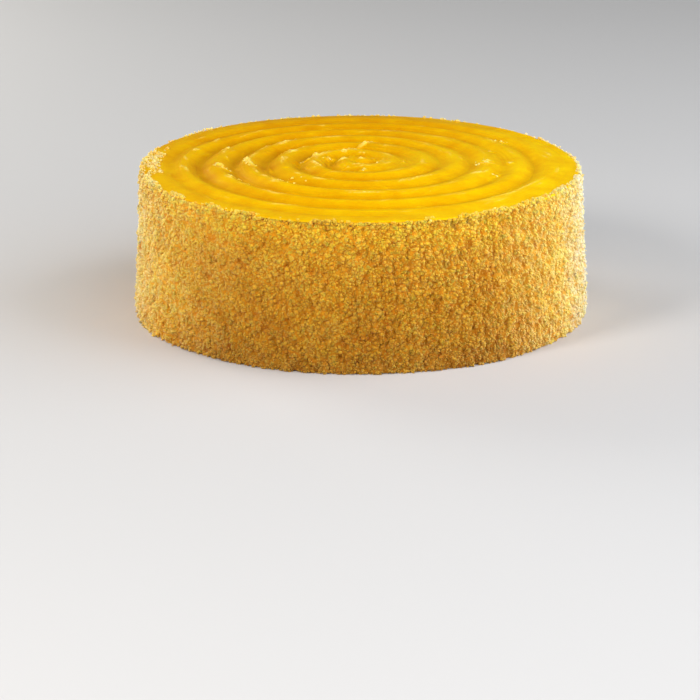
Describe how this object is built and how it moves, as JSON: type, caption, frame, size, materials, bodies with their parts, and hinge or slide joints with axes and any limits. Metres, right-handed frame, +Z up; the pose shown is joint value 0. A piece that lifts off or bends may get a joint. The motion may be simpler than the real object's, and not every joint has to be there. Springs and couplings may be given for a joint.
{
  "type": "mango tres leches cake",
  "caption": "Whole round cake: upright sides coated in fine sponge crumbs, and a glossy mango topping drawn into a shallow spatula spiral. It stands on its flat base.",
  "frame": {"origin": "middle of the flat base", "axes": "+Z up, +X to the right and +Y to the back for somebody who looks at the cake from the front; the spiral grows counter-clockwise seen from above"},
  "size_m": [0.2111, 0.2111, 0.0717],
  "materials": {
    "crumbs": "matte golden sponge crumbs, pale cream to amber",
    "mango_topping": "glossy smooth golden yellow"
  },
  "bodies": {
    "root": {"crumb_coated_cake": "crumbs", "mango_topping": "mango_topping"}
  },
  "joints": []
}
